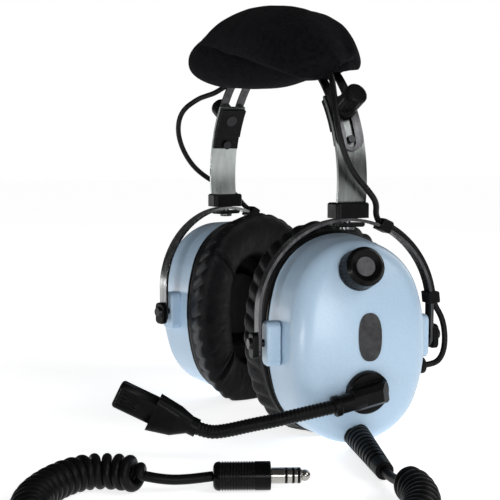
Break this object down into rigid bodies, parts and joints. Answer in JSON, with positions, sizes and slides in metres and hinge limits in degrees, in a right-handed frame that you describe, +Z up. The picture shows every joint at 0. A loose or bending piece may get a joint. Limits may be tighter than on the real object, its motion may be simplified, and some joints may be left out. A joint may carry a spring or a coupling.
{
  "type": "aviation headset",
  "caption": "Pilot's headset: oval blue ear cups in steel yokes under a padded slotted headband, with a gooseneck boom microphone, a bridge lead and a curly cord ending in a ringed plug.",
  "frame": {"origin": "on the floor under the middle of the headset's own box, measured without the cord and its plug", "axes": "+Z up from the floor the cups stand on, +X towards the wearer's left cup, which carries the boom and the cord, -Y the way the wearer faces"},
  "size_m": [0.3209, 0.2516, 0.2324],
  "materials": {
    "band_steel": "polished dark steel strip",
    "velvet": "black velvet",
    "lead_rubber": "satin black jacket",
    "cord_rubber": "satin black",
    "black_plastic": "satin black moulding",
    "plug_plastic": "gloss black",
    "plate_black": "black painted",
    "screw_steel": "bright",
    "cup_blue": "satin light blue with a fine speckle",
    "leatherette": "black pleated leatherette",
    "foam_grey": "open-cell foam",
    "speaker_metal": "satin",
    "knob_cap": "grey satin",
    "gooseneck": "ribbed black",
    "nickel": "polished nickel"
  },
  "bodies": {
    "headband": {"top_strap": "band_steel", "head_pad_outer": "velvet", "head_pad_inner": "velvet", "bridge_lead_middle": "lead_rubber", "left_lead_upper": "lead_rubber", "right_lead_upper": "lead_rubber"},
    "left_arm": {"left_arm": "band_steel", "left_nut_plate": "plate_black", "left_arm_screws": "screw_steel", "left_swivel_block": "black_plastic", "left_swivel_screw": "screw_steel"},
    "left_clamp": {"left_clamp_knob": "black_plastic"},
    "left_yoke": {"left_yoke": "band_steel", "left_yoke_plate": "screw_steel", "left_pivot_clips": "black_plastic", "left_pivot_pins": "screw_steel", "left_lead_clips": "black_plastic", "left_lead_lower": "lead_rubber"},
    "left_cup": {"left_cup_shell": "cup_blue", "left_seal_plate": "black_plastic", "left_ear_seal": "leatherette", "left_speaker": "speaker_metal", "left_damping_foam": "foam_grey", "left_grommet": "cord_rubber", "volume_pot": "speaker_metal", "strain_relief": "cord_rubber", "cord_lead": "cord_rubber", "cord_coil": "cord_rubber", "cord_tail": "cord_rubber", "plug_barrel": "plug_plastic", "plug_contacts": "nickel", "plug_insulators": "black_plastic"},
    "right_arm": {"right_arm": "band_steel", "right_nut_plate": "plate_black", "right_arm_screws": "screw_steel", "right_swivel_block": "black_plastic", "right_swivel_screw": "screw_steel"},
    "right_clamp": {"right_clamp_knob": "black_plastic"},
    "right_yoke": {"right_yoke": "band_steel", "right_yoke_plate": "screw_steel", "right_pivot_clips": "black_plastic", "right_pivot_pins": "screw_steel", "right_lead_clips": "black_plastic", "right_lead_lower": "lead_rubber"},
    "right_cup": {"right_cup_shell": "cup_blue", "right_seal_plate": "black_plastic", "right_ear_seal": "leatherette", "right_speaker": "speaker_metal", "right_damping_foam": "foam_grey", "right_grommet": "cord_rubber"},
    "volume": {"volume_knob": "black_plastic", "volume_knob_cap": "knob_cap"},
    "boom": {"boom_hub": "black_plastic", "boom_collar": "black_plastic", "gooseneck_base": "gooseneck", "gooseneck_knuckle": "gooseneck"},
    "microphone": {"gooseneck_tip": "gooseneck", "mic_rear": "black_plastic", "mic_front": "black_plastic", "mic_capsule": "speaker_metal"}
  },
  "joints": [
    {"name": "left_height", "type": "hinge", "parent": "headband", "child": "left_arm", "pos_m": [-0.0034, 0.032, 0.137], "axis": [0, -1, 0], "range_deg": [0, 10], "deforming": ["left_lead_upper"]},
    {"name": "left_clamp_turn", "type": "hinge", "parent": "left_arm", "child": "left_clamp", "pos_m": [0.06255, 0.032, 0.17477], "axis": [0.8678, 0, 0.497], "range_deg": [0, 360]},
    {"name": "left_swivel", "type": "hinge", "parent": "left_arm", "child": "left_yoke", "pos_m": [0.0666, 0.032, 0.116], "axis": [0, 0, 1], "range_deg": [-12, 12]},
    {"name": "left_tilt", "type": "hinge", "parent": "left_yoke", "child": "left_cup", "pos_m": [0.0666, 0.032, 0.055], "axis": [0.1908, 0.9816, 0], "range_deg": [-12, 12], "deforming": ["left_lead_lower"]},
    {"name": "right_height", "type": "hinge", "parent": "headband", "child": "right_arm", "pos_m": [-0.0034, 0.032, 0.137], "axis": [0, 1, 0], "range_deg": [0, 10], "deforming": ["right_lead_upper"]},
    {"name": "right_clamp_turn", "type": "hinge", "parent": "right_arm", "child": "right_clamp", "pos_m": [-0.06935, 0.032, 0.17477], "axis": [-0.8678, 0, 0.497], "range_deg": [0, 360]},
    {"name": "right_swivel", "type": "hinge", "parent": "right_arm", "child": "right_yoke", "pos_m": [-0.0734, 0.032, 0.116], "axis": [0, 0, 1], "range_deg": [-12, 12]},
    {"name": "right_tilt", "type": "hinge", "parent": "right_yoke", "child": "right_cup", "pos_m": [-0.0734, 0.032, 0.055], "axis": [-0.1908, 0.9816, 0], "range_deg": [-12, 12], "deforming": ["right_lead_lower"]},
    {"name": "volume_turn", "type": "hinge", "parent": "left_cup", "child": "volume", "pos_m": [0.08869, 0.02445, 0.0935], "axis": [0.9326, -0.2064, 0.2962], "range_deg": [-150, 150]},
    {"name": "boom_turn", "type": "hinge", "parent": "left_cup", "child": "boom", "pos_m": [0.09323, 0.02682, 0.033], "axis": [0.9675, -0.1881, -0.1692], "range_deg": [-40, 25]},
    {"name": "gooseneck_bend", "type": "hinge", "parent": "boom", "child": "microphone", "pos_m": [0.0764, -0.0295, 0.0188], "axis": [0, 0, 1], "range_deg": [-25, 25]}
  ]
}
